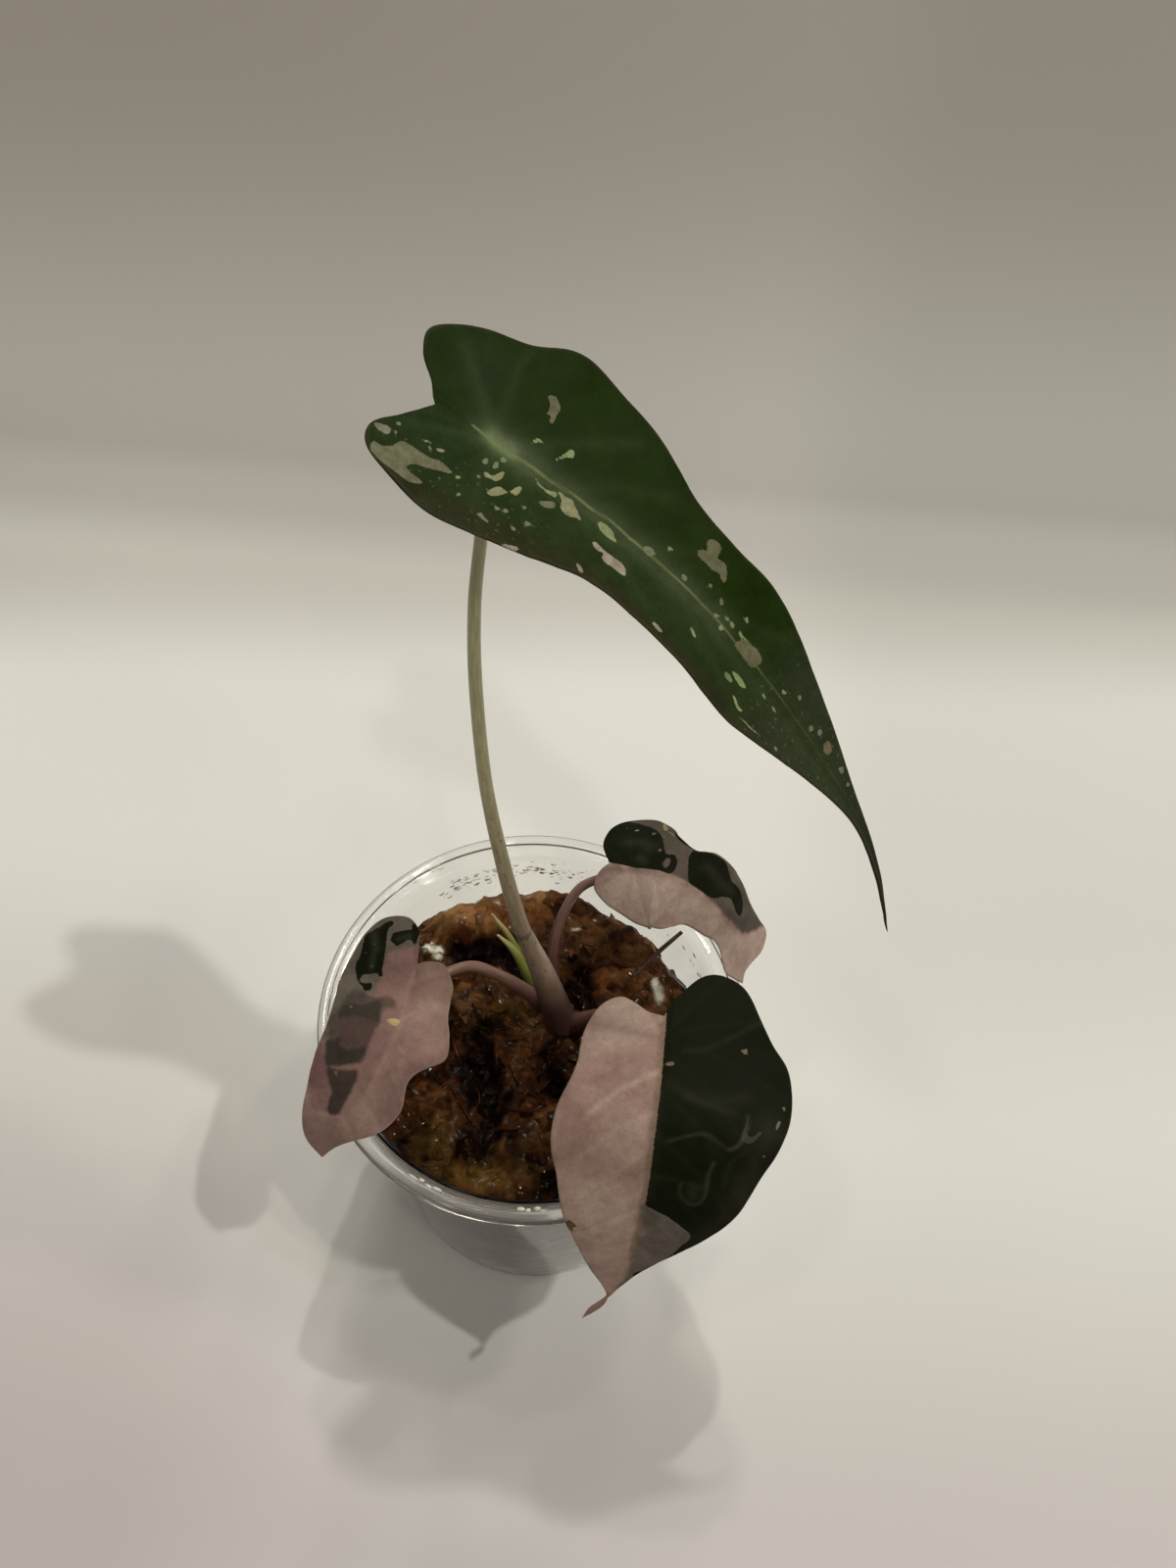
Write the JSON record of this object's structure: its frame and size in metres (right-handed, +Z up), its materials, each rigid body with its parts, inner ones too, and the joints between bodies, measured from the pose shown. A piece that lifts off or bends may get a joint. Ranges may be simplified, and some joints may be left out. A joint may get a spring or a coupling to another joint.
{
  "type": "potted variegated african mask plant",
  "caption": "Young variegated aroid with an arrow-shaped leaf on a tall stalk and small pink and dark juvenile leaves, rooted in wet moss in a clear plastic cup.",
  "frame": {"origin": "middle of the cup's flat underside", "axes": "+Z up; +Y away from the viewer, so that the tall leaf hangs to the right and towards the viewer"},
  "size_m": [0.0853, 0.0843, 0.1957],
  "materials": {
    "clear_cup": "clear, thin and glossy, with condensation",
    "moss": "wet long-fibre moss, golden brown to very dark brown",
    "rootstock": "dull brown corm and roots",
    "new_shoot": "waxy yellow green",
    "tall_stalk": "smooth, pale cream green turning pinkish tan towards its foot",
    "small_stalk": "smooth dusty pink",
    "tall_leaf": "waxy dark green with pale flecks",
    "juvenile_leaf": "waxy, part dusty pink and part green black"
  },
  "bodies": {
    "root": {"cup": "clear_cup", "moss": "moss", "rootstock": "rootstock", "new_shoot": "new_shoot", "petiole_tall": "tall_stalk", "petiole_left": "small_stalk", "petiole_back": "small_stalk", "petiole_front": "small_stalk", "blade_tall": "tall_leaf", "blade_left": "juvenile_leaf", "blade_back": "juvenile_leaf", "blade_front": "juvenile_leaf"}
  },
  "joints": []
}
